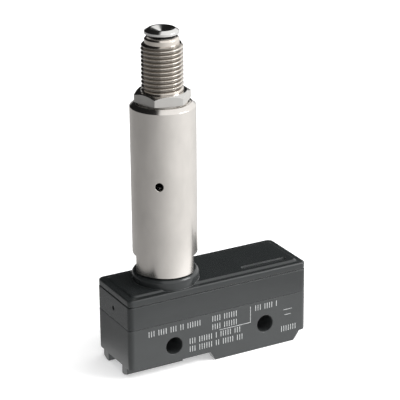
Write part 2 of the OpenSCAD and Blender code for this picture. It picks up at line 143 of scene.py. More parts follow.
class Recipe(Graph):
    """Nodes of one material, around one Principled shader."""

    noise_middle: Span = (0.3, 0.7)
    edge_cosines: Span = (0.995, 0.85)
    wall_slopes: Span = (0.05, 0.3)
    root_fade: float = 0.2 * MM

    def __init__(self, name: str) -> None:
        """Starts an empty material with the Principled shader linked to the output."""
        self.material = bpy.data.materials.new(name)
        self.material.use_nodes = True
        super().__init__(self.material.node_tree)
        self.tree.nodes.clear()
        self.shader = self.add("ShaderNodeBsdfPrincipled")
        output = self.add("ShaderNodeOutputMaterial")
        self.link(self.shader.outputs["BSDF"], output.inputs["Surface"])
        own = self.add("ShaderNodeTexCoord")
        self.place, self.facing = own.outputs["Object"], own.outputs["Normal"]
        self.soft_normal: Socket | None = None

    def noise(self, grain: Sequence[float], detail: float = 3.0) -> Socket:
        """Adds noise on the piece's own coordinates.

        Args:
            grain: Size of the pattern along X, Y and Z, in metres.
            detail: Number of finer layers on top of the first.
        """
        mapping = self.add("ShaderNodeMapping")
        mapping.inputs["Scale"].default_value = [1 / size for size in grain]
        self.link(self.place, mapping.inputs["Vector"])
        noise = self.add("ShaderNodeTexNoise")
        noise.inputs["Scale"].default_value = 1.0
        noise.inputs["Detail"].default_value = detail
        self.link(mapping.outputs["Vector"], noise.inputs["Vector"])
        return noise.outputs["Fac"]

    def spread(self, source: Socket, low: float, high: float) -> Socket:
        """Spreads the middle of a noise between two values.

        Args:
            source: Socket with the noise.
            low: Value where the noise is low.
            high: Value where the noise is high.
        """
        return self.mapped(source, self.noise_middle, (low, high))

    def edge_mask(self, radius: float) -> Socket:
        """Adds a mask that is 1 near the outer and inner edges of the piece.

        Args:
            radius: How far the mask reaches from an edge, in metres.
        """
        bevel = self.add("ShaderNodeBevel", samples=4)
        bevel.inputs["Radius"].default_value = radius
        self.soft_normal = bevel.outputs["Normal"]
        geometry = self.add("ShaderNodeNewGeometry")
        dot = self.add("ShaderNodeVectorMath", operation="DOT_PRODUCT")
        self.link(bevel.outputs["Normal"], dot.inputs[0])
        self.link(geometry.outputs["Normal"], dot.inputs[1])
        return self.mapped(dot.outputs["Value"], self.edge_cosines)

    def in_roots(self, axis_x: float, root: float, crest: float) -> Socket:
        """Adds a mask that is 1 in the roots of a thread about an upright axis.

        Args:
            axis_x: Place of the axis along X.
            root: Radius of the roots, below which the mask fades at once.
            crest: Radius of the crests, where it has faded to 0.
        """
        shift = self.add("ShaderNodeVectorMath", operation="SUBTRACT")
        shift.inputs[1].default_value = (axis_x, 0, 0)
        self.link(self.place, shift.inputs[0])
        flat = self.add("ShaderNodeVectorMath", operation="MULTIPLY")
        flat.inputs[1].default_value = (1, 1, 0)
        self.link(shift.outputs["Vector"], flat.inputs[0])
        radius = self.add("ShaderNodeVectorMath", operation="LENGTH")
        self.link(flat.outputs["Vector"], radius.inputs[0])
        mask = self.add("ShaderNodeMath", operation="MULTIPLY")
        for socket, span in zip(mask.inputs, ((crest, root), (root - self.root_fade, root))):
            self.link(self.mapped(radius.outputs["Value"], span), socket)
        return mask.outputs["Value"]

    def lay_painted_shade(self, mask: Socket, colour: Sequence[float], amount: float) -> None:
        """Lays painted shade, a darker colour, over the colour that the shader already has.

        Args:
            mask: Socket that is 1 where the painted shade is.
            colour: Red, green and blue of the painted shade.
            amount: How far the colour goes to the painted shade's, from 0 to 1.
        """
        plain = self.shader.inputs["Base Color"].links[0].from_socket
        self.blend(plain, mask, colour, amount)

    def blend(
        self, plain: Socket, mask: Socket, colour: Sequence[float], amount: float
    ) -> None:
        """Colours the shader from a socket, and towards one colour where a mask is 1."""
        share = self.add("ShaderNodeMath", operation="MULTIPLY")
        share.inputs[1].default_value = amount
        self.link(mask, share.inputs[0])
        mix = self.add("ShaderNodeMix", data_type="RGBA")
        self.link(share.outputs["Value"], mix.inputs["Factor"])
        self.link(plain, mix.inputs["A"])
        mix.inputs["B"].default_value = (*colour, 1)
        self.link(mix.outputs["Result"], self.shader.inputs["Base Color"])

    def on_walls(self, elsewhere: Socket, value: float) -> Socket:
        """Gives upright walls a value of their own.

        Args:
            elsewhere: Socket with the value of all other faces.
            value: Value on the upright walls.
        """
        split = self.add("ShaderNodeSeparateXYZ")
        self.link(self.facing, split.inputs[0])
        size = self.add("ShaderNodeMath", operation="ABSOLUTE")
        self.link(split.outputs["Z"], size.inputs[0])
        mix = self.add("ShaderNodeMix", data_type="FLOAT")
        self.link(self.mapped(size.outputs["Value"], self.wall_slopes), mix.inputs["Factor"])
        mix.inputs["A"].default_value = value
        self.link(elsewhere, mix.inputs["B"])
        return mix.outputs["Result"]

    def bump(self, layers: Sequence[tuple[Socket, float]]) -> None:
        """Stacks bump layers on the shader's normal, softened at the edges if there is a mask.

        Args:
            layers: Pairs of a height socket and the height in metres.
        """
        normal = self.soft_normal
        for height, depth in layers:
            bump = self.add("ShaderNodeBump")
            bump.inputs["Strength"].default_value = 1.0
            bump.inputs["Distance"].default_value = depth
            self.link(height, bump.inputs["Height"])
            if normal is not None:
                self.link(normal, bump.inputs["Normal"])
            normal = bump.outputs["Normal"]
        self.link(normal, self.shader.inputs["Normal"])

    def colour(
        self, base: Sequence[float], shade: float, fac: Socket,
        rub_and_highlight_colour: Sequence[float], rub_and_highlight_share: float, mask: Socket,
    ) -> None:
        """Colours the shader with a slow change of shade, and lighter edges that are partly rubbed and
        partly painted highlight.

        Args:
            base: Red, green and blue of the finish.
            shade: Share by which the shade rises and falls.
            fac: Socket that drives the change of shade.
            rub_and_highlight_colour: Red, green and blue of an edge, rubbed and with painted highlight.
            rub_and_highlight_share: How far an edge goes to that colour, from 0 to 1.
            mask: Socket that is 1 at the edges.
        """
        ramp = self.add("ShaderNodeValToRGB")
        stops = zip(ramp.color_ramp.elements, self.noise_middle, (1 - shade, 1 + shade))
        for element, position, gain in stops:
            element.position = position
            element.color = (*(channel * gain for channel in base), 1)
        self.link(fac, ramp.inputs["Fac"])
        self.blend(ramp.outputs["Color"], mask, rub_and_highlight_colour, rub_and_highlight_share)


class Finish:
    """The looks of one surface, made into a material under a name."""

    def make(self, name: str) -> bpy.types.Material:
        """Makes the material."""
        raise NotImplementedError


@dataclass(frozen=True)
class Moulding(Finish):
    """Moulded plastic or rubber, with a fine grain, and edges lightened partly as rubbed and partly as
    painted highlight.
    """

    colour: tuple[float, float, float]
    roughness: float
    grain: float = 0.22 * MM
    depth: float = 0.004 * MM
    rub_and_highlight_colour: tuple[float, float, float] = (0.13, 0.135, 0.135)
    rub_and_highlight_share: float = 0.4
    edge: float = 0.16 * MM

    def make(self, name: str) -> bpy.types.Material:
        """Makes the material."""
        recipe = Recipe(name)
        cloud = recipe.noise((9 * MM, 9 * MM, 6 * MM))
        fine = recipe.noise((self.grain,) * 3)
        mask = recipe.edge_mask(self.edge)
        # Edges go towards a lighter colour: partly rubbing, partly a painted highlight along the edges.
        recipe.colour(self.colour, 0.07, cloud, self.rub_and_highlight_colour, self.rub_and_highlight_share, mask)
        gloss = recipe.spread(fine, self.roughness - 0.05, self.roughness + 0.06)
        recipe.link(gloss, recipe.shader.inputs["Roughness"])
        flow = recipe.noise((3.5 * MM, 3.5 * MM, 2.5 * MM), 1.0)
        recipe.bump([(flow, 0.006 * MM), (fine, self.depth)])
        recipe.shader.inputs["IOR"].default_value = 1.5
        return recipe.material


@dataclass(frozen=True)
class Plating(Finish):
    """Turned, rolled or plated metal, with fine lines, edges brightened partly as rubbed and partly as
    painted highlight, and painted shade in thread roots where these are given.
    """

    colour: tuple[float, float, float]
    roughness: float
    lines: tuple[float, float, float] = (2.5 * MM, 2.5 * MM, 0.05 * MM)
    depth: float = 0.0004 * MM
    speckle: float = 0.18 * MM
    rub_and_highlight_colour: tuple[float, float, float] = (0.9, 0.89, 0.87)
    rub_and_highlight_share: float = 0.3
    wall_roughness: float | None = None
    roots: tuple[float, float, float] | None = None
    # Colour of the painted shade in the thread roots.
    root_shade_colour: tuple[float, float, float] = (0.12, 0.105, 0.085)

    def make(self, name: str) -> bpy.types.Material:
        """Makes the material."""
        recipe = Recipe(name)
        cloud = recipe.noise((4 * MM, 4 * MM, 7 * MM), 7.0)
        lines = recipe.noise(self.lines, 2.0)
        speckle = recipe.noise((self.speckle,) * 3)
        mask = recipe.edge_mask(0.12 * MM)
        # Edges go towards a lighter colour: partly rubbing, partly a painted highlight along the edges.
        recipe.colour(self.colour, 0.05, cloud, self.rub_and_highlight_colour, self.rub_and_highlight_share, mask)
        # Painted shade: where roots are given, the thread's roots are darkened to a near-black brown.
        if self.roots is not None:
            recipe.lay_painted_shade(recipe.in_roots(*self.roots), self.root_shade_colour, 0.85)
        gloss = recipe.spread(speckle, self.roughness * 0.85, self.roughness * 1.25)
        if self.wall_roughness is not None:
            gloss = recipe.on_walls(gloss, self.wall_roughness)
        recipe.link(gloss, recipe.shader.inputs["Roughness"])
        recipe.bump([(lines, self.depth), (speckle, self.depth)])
        recipe.shader.inputs["Metallic"].default_value = 1.0
        return recipe.material


@dataclass(frozen=True)
class Ink(Finish):
    """Printed ink with an uneven, slightly thin coat."""

    colour: tuple[float, float, float] = (0.62, 0.63, 0.63)
    thin: tuple[float, float, float] = (0.3, 0.31, 0.31)

    def make(self, name: str) -> bpy.types.Material:
        """Makes the material."""
        recipe = Recipe(name)
        coat = recipe.noise((0.35 * MM, 0.35 * MM, 0.35 * MM))
        middle = [(a + b) / 2 for a, b in zip(self.colour, self.thin)]
        recipe.colour(middle, 0.3, coat, self.colour, 0.1, recipe.edge_mask(0.05 * MM))
        recipe.link(recipe.spread(coat, 0.55, 0.7), recipe.shader.inputs["Roughness"])
        recipe.bump([(coat, 0.002 * MM)])
        return recipe.material


ROLLED = (0.05 * MM, 2.5 * MM, 2.5 * MM)
FINISHES: dict[Slot, Finish] = {
    Slot.BLACK_PLASTIC: Moulding((0.034, 0.037, 0.0375), 0.38, depth=0.0022 * MM),
    # The cover's edges lighten more and over a wider band: a painted highlight along its rim, recess
    # and riser edges.
    Slot.COVER_PLASTIC: Moulding(
        (0.021, 0.0235, 0.024), 0.19, depth=0.0008 * MM, rub_and_highlight_share=0.6, edge=0.2 * MM
    ),
    Slot.SATIN_NICKEL: Plating((0.67, 0.64, 0.605), 0.14, wall_roughness=0.27),
    Slot.NUT_NICKEL: Plating(
        (0.58, 0.57, 0.55), 0.12, (1.5 * MM, 1.5 * MM, 1.5 * MM), wall_roughness=0.6
    ),
    Slot.POLISHED_STEEL: Plating((0.68, 0.675, 0.66), 0.1, depth=0.0002 * MM),
    Slot.ZINC_STEEL: Plating((0.66, 0.68, 0.71), 0.26),
    Slot.SPRING_STEEL: Plating((0.5, 0.51, 0.53), 0.24),
    Slot.DARK_STEEL: Plating((0.1, 0.1, 0.11), 0.38, rub_and_highlight_colour=(0.35, 0.35, 0.36)),
    Slot.BRASS: Plating((0.78, 0.57, 0.24), 0.24, ROLLED, rub_and_highlight_colour=(0.9, 0.74, 0.42)),
    Slot.BERYLLIUM_COPPER: Plating((0.8, 0.48, 0.24), 0.22, ROLLED, rub_and_highlight_colour=(0.9, 0.66, 0.42)),
    Slot.SILVER: Plating((0.86, 0.85, 0.82), 0.16),
    Slot.RED_PHENOLIC: Moulding((0.3, 0.045, 0.03), 0.36, rub_and_highlight_colour=(0.5, 0.16, 0.12)),
    Slot.ACETAL: Moulding((0.8, 0.77, 0.69), 0.34, rub_and_highlight_colour=(0.88, 0.86, 0.8)),
    Slot.BLACK_RUBBER: Moulding((0.02, 0.02, 0.021), 0.62, rub_and_highlight_colour=(0.06, 0.06, 0.06)),
}


class PaintShop:
    """Keeps one material for each slot, made when first asked for."""

    def __init__(self) -> None:
        """Starts with no material made."""
        self.made: dict[Slot, bpy.types.Material] = {}

    def finish(self, slot: Slot) -> bpy.types.Material:
        """Gives the material of a slot."""
        if slot not in self.made:
            self.made[slot] = FINISHES[slot].make(slot.value)
        return self.made[slot]

    def dress_nodes(self) -> None:
        """Gives each CAD node the material of its slot in the record."""
        for part in frame["record"]["subparts"]:
            node = frame["nodes"][part["node"]]
            material = self.finish(Slot(part["material_slot"]))
            if not node.material_slots:
                node.data.materials.append(material)
            for slot in node.material_slots:
                slot.material = material
            LOG.info("node %s: %s", part["node"], part["material_slot"])


SHOP = PaintShop()


# ---------------------------------------------------------------- bench tools


def deselect() -> None:
    """Leaves edit mode and selects nothing."""
    if bpy.context.object and bpy.context.object.mode != "OBJECT":
        bpy.ops.object.mode_set(mode="OBJECT")
    bpy.ops.object.select_all(action="DESELECT")


def activate(piece: Node) -> None:
    """Selects one piece only."""
    deselect()
    piece.select_set(True)
    bpy.context.view_layer.objects.active = piece


def settle(piece: Node) -> Node:
    """Puts the piece's place, turn and scale into its mesh."""
    activate(piece)
    bpy.ops.object.transform_apply(location=True, rotation=True, scale=True)
    return piece


@contextlib.contextmanager
def editing(piece: Node) -> Iterator[None]:
    """Opens a piece in edit mode with nothing selected, and closes it after."""
    activate(piece)
    bpy.ops.object.mode_set(mode="EDIT")
    bpy.ops.mesh.select_all(action="DESELECT")
    yield
    bpy.ops.object.mode_set(mode="OBJECT")


def bevel_edges(piece: Node, test: PlaceTest, width: float, segments: int) -> None:
    """Rounds the edges of a piece that pass a test of their two ends."""
    with editing(piece):
        bpy.ops.mesh.select_mode(type="EDGE")
        bpy.ops.mesh.select_all(action="DESELECT")
        mesh = bmesh.from_edit_mesh(piece.data)
        for edge in mesh.edges:
            edge.select_set(test(edge.verts[0].co, edge.verts[1].co))
        bmesh.update_edit_mesh(piece.data)
        bpy.ops.mesh.bevel(offset=width, segments=segments, affect="EDGES")


def slice_off(piece: Node, point: Sequence[float], normal: Sequence[float]) -> None:
    """Cuts off what lies beyond a plane and closes the cut."""
    with editing(piece):
        bpy.ops.mesh.select_all(action="SELECT")
        bpy.ops.mesh.bisect(
            plane_co=point, plane_no=normal, use_fill=True, clear_outer=True,
            threshold=0.001 * MM,
        )


def clean(piece: Node) -> Node:
    """Merges doubles and turns all faces outwards."""
    with editing(piece):
        bpy.ops.mesh.select_all(action="SELECT")
        bpy.ops.mesh.remove_doubles(threshold=0.001 * MM)
        bpy.ops.mesh.normals_make_consistent(inside=False)
    return piece


def block(name: str, low: Sequence[float], high: Sequence[float]) -> Node:
    """Adds a block between two corners."""
    deselect()
    low, high = Vector(low), Vector(high)
    bpy.ops.mesh.primitive_cube_add(size=1, location=(low + high) / 2)
    piece = bpy.context.object
    piece.name = piece.data.name = name
    piece.scale = high - low
    return settle(piece)


def soft_block(name: str, low: Sequence[float], high: Sequence[float], width: float) -> Node:
    """Adds a block between two corners, with all its edges rounded."""
    piece = block(name, low, high)
    bevel_edges(piece, lambda a, b: True, width, 3)
    return piece


def upright(a: Vector, b: Vector) -> bool:
    """Says whether an edge between two points stands upright."""
    return (a - b).length > 0 and abs(a.z - b.z) > 0.99 * (a - b).length


def rounded(outline: Outline, closed: bool, segments: int = 4) -> list[tuple[float, float]]:
    """Rounds the corners of an outline.

    Args:
        outline: Points of two numbers, with the corner's radius third where it is rounded.
        closed: True if the last point joins the first.
        segments: Number of straight steps in each arc.
    """
    made: list[tuple[float, float]] = []
    count = len(outline)
    for index, point in enumerate(outline):
        corner = Vector(point[:2])
        at_end = not closed and index in (0, count - 1)
        if len(point) < 3 or at_end:
            made.append(tuple(corner))
            continue
        back = (Vector(outline[index - 1][:2]) - corner).normalized()
        ahead = (Vector(outline[(index + 1) % count][:2]) - corner).normalized()
        half = back.angle(ahead) / 2
        centre = corner + (back + ahead).normalized() * point[2] / math.sin(half)
        first = corner + back * point[2] / math.tan(half) - centre
        last = corner + ahead * point[2] / math.tan(half) - centre
        for step in range(segments + 1):
            spoke = first.normalized().slerp(last.normalized(), step / segments)
            made.append(tuple(centre + spoke * point[2]))
    return made


def turn(name: str, outline: Outline, axis_x: float, closed: bool = True, steps: int = 96) -> Node:
    """Turns an outline about an upright axis.

    Args:
        name: Name of the piece.
        outline: Points of radius and height, with a corner radius third where it is rounded.
        axis_x: Place of the axis along X.
        closed: True for a ring, False for a solid that starts and ends on the axis.
        steps: Number of steps round the axis.
    """
    points = rounded(outline, closed)
    deselect()
    start = (axis_x + points[0][0], 0, points[0][1])
    bpy.ops.mesh.primitive_plane_add(size=MM, location=start)
    piece = settle(bpy.context.object)
    piece.name = piece.data.name = name
    if closed:
        points.append(points[0])
    with editing(piece):
        bpy.ops.mesh.select_mode(type="VERT")
        bpy.ops.mesh.select_all(action="SELECT")
        bpy.ops.mesh.merge(type="CENTER")
        for (r0, z0), (r1, z1) in pairwise(points):
            bpy.ops.mesh.extrude_vertices_move(
                TRANSFORM_OT_translate={"value": (r1 - r0, 0, z1 - z0)}
            )
        bpy.ops.mesh.select_all(action="SELECT")
        bpy.ops.mesh.spin(
            steps=steps, angle=math.tau, center=(axis_x, 0, 0), axis=(0, 0, 1)
        )
    return clean(piece)


def lay_along(piece: Node, matrix: Matrix) -> Node:
    """Moves and turns a piece by a matrix and puts that into its mesh."""
    piece.matrix_world = matrix @ piece.matrix_world
    return settle(piece)


def quarter_round(across: float, height: float, radius: float) -> list[Span]:
    """Gives the points of a quarter arc, from a wall up to a level at the given height."""
    turns = [math.radians(15 * step) for step in range(7)]
    return [
        (across + radius * (1 - math.cos(a)), height - radius * (1 - math.sin(a))) for a in turns
    ]


def wind(piece: Node, pitch: float, turns: int, steps: int) -> Node:
    """Sweeps an outline up round the Z axis and closes both ends.

    Args:
        piece: The outline, beside the axis.
        pitch: Rise in each turn.
        turns: Number of turns.
        steps: Number of steps in each turn.
    """
    activate(piece)
    screw = piece.modifiers.new("wind", "SCREW")
    screw.screw_offset = pitch
    screw.iterations = turns
    screw.steps = screw.render_steps = steps
    bpy.ops.object.modifier_apply(modifier=screw.name)
    with editing(piece):
        bpy.ops.mesh.select_mode(type="VERT")
        bpy.ops.mesh.select_all(action="SELECT")
        bpy.ops.mesh.fill_holes(sides=0)
    return clean(piece)


def flared_pin(name: str, radius: float, length: float, flare: float, steps: int = 64) -> Node:
    """Makes an upright pin about the origin that widens at both ends, to cut a hole with soft edges.

    Args:
        name: Name of the piece.
        radius: Radius of the hole.
        length: Depth of the hole, with the pin half above and half below the origin.
        flare: Radius of the rounded edge at each mouth.
        steps: Number of steps round the pin.
    """
    half = length / 2
    top = [*quarter_round(radius, half, flare), (radius + flare, half + MM), (0, half + MM)]
    bottom = [(r, -z) for r, z in reversed(top)]
    return turn(name, [*bottom, *top], 0, closed=False, steps=steps)


def combine(piece: Node, tool: Node, way: Join) -> None:
    """Welds, cuts or trims a piece with a tool, which is used up."""
    activate(piece)
    modifier = piece.modifiers.new("combine", "BOOLEAN")
    modifier.object = tool
    modifier.operation = way.value
    modifier.solver = "EXACT"
    bpy.ops.object.modifier_apply(modifier=modifier.name)
    bpy.data.objects.remove(tool)


def copy_of(piece: Node, name: str, offset: Sequence[float] = (0, 0, 0)) -> Node:
    """Copies a piece with its own mesh and moves the copy."""
    double = piece.copy()
    double.data = piece.data.copy()
    double.name = double.data.name = name
    double.parent = None
    double.hide_render = double.hide_viewport = False
    bpy.context.scene.collection.objects.link(double)
    double.location = Vector(offset)
    return settle(double)


def joined(name: str, pieces: Sequence[Node]) -> Node:
    """Makes one piece of several separate solids."""
    activate(pieces[0])
    for piece in pieces[1:]:
        piece.select_set(True)
    bpy.ops.object.join()
    whole = bpy.context.object
    whole.name = whole.data.name = name
    return whole


def soften(node: str, width: float, segments: int = 2) -> Node:
    """Copies a CAD node, merges its loose triangles and rounds its sharp edges.

    Args:
        node: Name of the CAD node.
        width: Width of the rounding, in metres.
        segments: Steps across the rounding.
    """
    piece = copy_of(frame["nodes"][node], f"{node}_soft")
    piece.data.materials.clear()
    with editing(piece):
        bpy.ops.mesh.select_all(action="SELECT")
        bpy.ops.mesh.remove_doubles(threshold=0.0005 * MM)
        bpy.ops.mesh.dissolve_limited(angle_limit=math.radians(1))
    modifier = piece.modifiers.new("round", "BEVEL")
    modifier.width = width
    modifier.segments = segments
    modifier.limit_method = "ANGLE"
    modifier.angle_limit = math.radians(40)
    activate(piece)
    bpy.ops.object.modifier_apply(modifier=modifier.name)
    return piece


def even_shading(piece: Node) -> None:
    """Lets the large faces of a piece rule its shading, so that flat walls look flat."""
    activate(piece)
    bpy.ops.object.shade_smooth_by_angle(angle=math.radians(32))
    weighted = piece.modifiers.new("even", "WEIGHTED_NORMAL")
    weighted.keep_sharp = True
    bpy.ops.object.modifier_apply(modifier=weighted.name)


def hand_over(
    piece: Node, slot: Slot, body: Body, nodes: Sequence[str] = (), angle: float = 32,
    flat: bool = False, finish: Finish | None = None,
) -> None:
    """Finishes a piece: smooth shading, its material, its body and the nodes it stands for.

    Args:
        piece: The modelled piece.
        slot: Material slot that it takes its finish from.
        body: Body that it rides on.
        nodes: CAD nodes that it replaces.
        angle: Edges sharper than this stay sharp, in degrees.
        flat: Whether the piece has large flat walls with holes in them.
        finish: The piece's own finish, where the slot's doesn't suit it.
    """
    settle(piece)
    if flat:
        even_shading(piece)
    else:
        bpy.ops.object.shade_smooth_by_angle(angle=math.radians(angle))
    piece.data.materials.clear()
    material = finish.make(f"{piece.name}_finish") if finish else SHOP.finish(slot)
    piece.data.materials.append(material)
    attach(piece, body.value)
    if nodes:
        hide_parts(*nodes)
    mesh = bmesh.new()
    mesh.from_mesh(piece.data)
    open_edges = sum(not edge.is_manifold for edge in mesh.edges)
    triangles = sum(len(face.verts) - 2 for face in mesh.faces)
    volume = mesh.calc_volume(signed=True) / MM**3
    mesh.free()
    LOG.info(
        "piece %s: %d triangles, %d open edges, %.1f mm3, on %s",
        piece.name, triangles, open_edges, volume, body.value,
    )


# ---------------------------------------------------------------- sizes taken from the frame

CASE_LOW, CASE_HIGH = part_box("base_case")
COVER_LOW, COVER_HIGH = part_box("cover")
TUBE_LOW, TUBE_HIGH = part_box("actuator_tube")
AXIS_X = (TUBE_LOW.x + TUBE_HIGH.x) / 2
TUBE_R = (TUBE_HIGH.x - TUBE_LOW.x) / 2
CASE_TOP = COVER_LOW.z
SKIN = 0.01 * MM  # the moulded faces lie this far inside the printed marks


def ends(node: str) -> Span:
    """Gives the lowest and the highest point of a CAD node."""
    low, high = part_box(node)
    return low.z, high.z


def half_width(node: str) -> float:
    """Gives half of a CAD node's width along X."""
    low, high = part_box(node)
    return (high.x - low.x) / 2


def turned_on_axis(name: str, outline: Outline, closed: bool = True, steps: int = 96) -> Node:
    """Turns an outline about the plunger's axis."""
    return turn(name, outline, AXIS_X, closed, steps)


# ---------------------------------------------------------------- case


@dataclass
class CaseOutline:
    """The rounded rectangle that both halves of the case are raised from."""

    half_l: float = CASE_HIGH.x
    half_w: float = CASE_HIGH.y - SKIN
    corner_r: float = 1.4 * MM

    def raised(self, name: str, steps: Outline) -> Node:
        """Raises the outline through steps.

        Args:
            name: Name of the piece.
            steps: Pairs of how far the outline is set in, and the height.
        """
        inset, height = steps[0]
        deselect()
        bpy.ops.mesh.primitive_plane_add(size=2, location=(0, 0, height))
        piece = bpy.context.object
        piece.name = piece.data.name = name
        piece.scale = (self.half_l - inset, self.half_w - inset, 1)
        settle(piece)
        with editing(piece):
            bpy.ops.mesh.select_mode(type="VERT")
            bpy.ops.mesh.select_all(action="SELECT")
            bpy.ops.mesh.bevel(offset=self.corner_r - inset / 2, segments=10, affect="VERTICES")
            bpy.ops.mesh.select_mode(type="FACE")
            bpy.ops.mesh.select_all(action="SELECT")
            for (inset0, z0), (inset1, z1) in pairwise(steps):
                bpy.ops.mesh.extrude_region_move(
                    TRANSFORM_OT_translate={"value": (0, 0, z1 - z0)}
                )
                grow_x = (self.half_l - inset1) / (self.half_l - inset0)
                grow_y = (self.half_w - inset1) / (self.half_w - inset0)
                bpy.ops.transform.resize(
                    value=(grow_x, grow_y, 1), center_override=(0, 0, z1)
                )
        return clean(piece)


@dataclass
class Base:
    """Lower half of the case, with feet, mounting holes and terminal pockets."""

    outline: CaseOutline
    body_z: float = 2.3 * MM
    edge: float = 0.18 * MM
    split_edge: float = 0.16 * MM
    hole_pitch: float = 25.4 * MM
    hole_r: float = 2.18 * MM
    hole_z: float = 6.5 * MM
    inner: tuple[float, float] = (22.8 * MM, 6.9 * MM)
    floor_z: float = 9.6 * MM
    left_foot: tuple[float, float] = (-24.6 * MM, -9.2 * MM)
    left_foot_y: tuple[float, float, float] = (3.725 * MM, 4.825 * MM, 6.275 * MM)
    left_foot_rise: float = 0.6 * MM
    right_foot: tuple[float, float, float, float] = (-2.7 * MM, -1.4 * MM, 20.9 * MM, 22.6 * MM)
    right_foot_t: float = 2.5 * MM
    skirt_reach: float = 0.4 * MM
    seam: float = 0.002 * MM
    pockets: tuple[tuple[float, float], ...] = (
        (-20.2 * MM, 3.72 * MM), (0, 5.2 * MM), (19.8 * MM, 5.2 * MM)
    )
    pocket_half: float = 3.9 * MM
    pocket_top: float = 5.2 * MM
    block_half: tuple[float, float] = (2.45 * MM, 2.65 * MM)
    tongue_x: tuple[float, float] = (21.5 * MM, 22.75 * MM)
    tongue_y: float = 2.5 * MM
    tongue_top: float = 17.6 * MM
    pin_z: float = 15.775 * MM
    pin_r: float = 0.6 * MM

    def build(self) -> None:
        """Builds the base and hands it over."""
        body = self.shell()
        for side in (-1, 1):
            combine(body, self.left_foot_block(side), Join.WELD)
            combine(body, self.skirt(side), Join.WELD)
        combine(body, self.cavity(self.floor_z, CASE_TOP + MM), Join.CUT)
        for side in (-1, 1):
            combine(body, self.tongue(side), Join.WELD)
        for pocket_x, pocket_y in self.pockets:
            for tool in self.pocket_tools(pocket_x, pocket_y):
                combine(body, tool, Join.CUT)
        for side in (-1, 1):
            combine(body, self.hole_tool(side), Join.CUT)
            combine(body, self.pin_tool(side), Join.CUT)
        hand_over(body, Slot.BLACK_PLASTIC, Body.HOUSING, ["base_case"], flat=True)

    def shell(self) -> Node:
        """Raises the solid body of the base."""
        e, s = self.edge, self.split_edge
        top = CASE_TOP
        steps = [
            (e, self.body_z), (e * 0.3, self.body_z + e * 0.3), (0, self.body_z + e),
            (0, top - s), (s * 0.35, top - s * 0.35), (s, top),
        ]
        return self.outline.raised("base_case_body", steps)

    def left_foot_block(self, side: int) -> Node:
        """Makes one set-back foot under the left end.

        Args:
            side: 1 for the back, -1 for the front.
        """
        near, flat, far = self.left_foot_y
        y0, y1 = sorted((side * near, side * far))
        low = (self.left_foot[0] + self.edge + self.seam, y0, 0)
        foot = block("left_foot", low, (self.left_foot[1], y1, self.body_z + MM))
        rise = Vector((0, side * self.left_foot_rise, far - flat)).normalized()
        normal = (0, rise.z * side * self.left_foot_rise / (far - flat), -rise.z)
        slice_off(foot, (0, side * flat, 0), normal)
        bevel_edges(foot, lambda a, b: max(a.z, b.z) < self.body_z, 0.12 * MM, 3)
        return foot

    def skirt(self, side: int) -> Node:
        """Makes one flush skirt under the right end, with sloping ends.

        Args:
            side: 1 for the back, -1 for the front.
        """
        outer = self.outline.half_w - self.seam
        y0, y1 = sorted((side * outer, side * (outer - self.right_foot_t)))
        x0, x1, x2, x3 = self.right_foot
        top = self.body_z + self.skirt_reach
        skirt = block("skirt", (x0 - 2 * MM, y0, 0), (x3 + 2 * MM, y1, top))
        slice_off(skirt, (x1, 0, 0), (-self.body_z, 0, x0 - x1))
        slice_off(skirt, (x2, 0, 0), (self.body_z, 0, x2 - x3))
        bevel_edges(skirt, lambda a, b: max(a.z, b.z) < 0.01 * MM, 0.14 * MM, 3)
        return skirt

    def cavity(self, low: float, high: float) -> Node:
        """Makes the solid that one half's hollow is cut with, between two heights."""
        x, y = self.inner
        hollow = block("cavity", (-x, -y, low), (x, y, high))
        bevel_edges(hollow, upright, 0.6 * MM, 5)
        return hollow

    def tongue(self, side: int) -> Node:
        """Makes one end tongue, which the cover's pin goes through."""
        x0, x1 = sorted((side * self.tongue_x[0], side * self.tongue_x[1]))
        low = (x0, -self.tongue_y, self.floor_z - 0.5 * MM)
        return soft_block("tongue", low, (x1, self.tongue_y, self.tongue_top), 0.15 * MM)

    def pocket_tools(self, x: float, half_y: float) -> Iterator[Node]:
        """Makes the two blocks that cut the room for one terminal.

        Args:
            x: Middle of the terminal.
            half_y: Half the pocket's width, front to back.

        Yields:
            The pocket for the screw, then the slot for the brass block.
        """
        low = (x - self.pocket_half, -half_y, self.body_z - MM)
        pocket = block("pocket", low, (x + self.pocket_half, half_y, self.pocket_top))
        bevel_edges(pocket, upright, 0.5 * MM, 4)
        yield pocket
        bx, by = self.block_half
        low = (x - bx, -by, self.pocket_top - 0.2 * MM)
        yield block("block_slot", low, (x + bx, by, self.floor_z + 0.1 * MM))

    def hole_tool(self, side: int) -> Node:
        """Makes the cutter of one mounting hole, with a softly rounded mouth."""
        tool = flared_pin("hole", self.hole_r, 2 * self.outline.half_w, 0.22 * MM)
        place = Matrix.Translation((side * self.hole_pitch / 2, 0, self.hole_z))
        return lay_along(tool, place @ Matrix.Rotation(math.pi / 2, 4, "X"))

    def pin_tool(self, side: int) -> Node:
        """Makes the cutter of one end pin's bore."""
        tool = flared_pin("pin_bore", self.pin_r, 6 * MM, 0.05 * MM, 32)
        place = Matrix.Translation((side * (self.outline.half_l - 3 * MM), 0, self.pin_z))
        return lay_along(tool, place @ Matrix.Rotation(math.pi / 2, 4, "Y"))


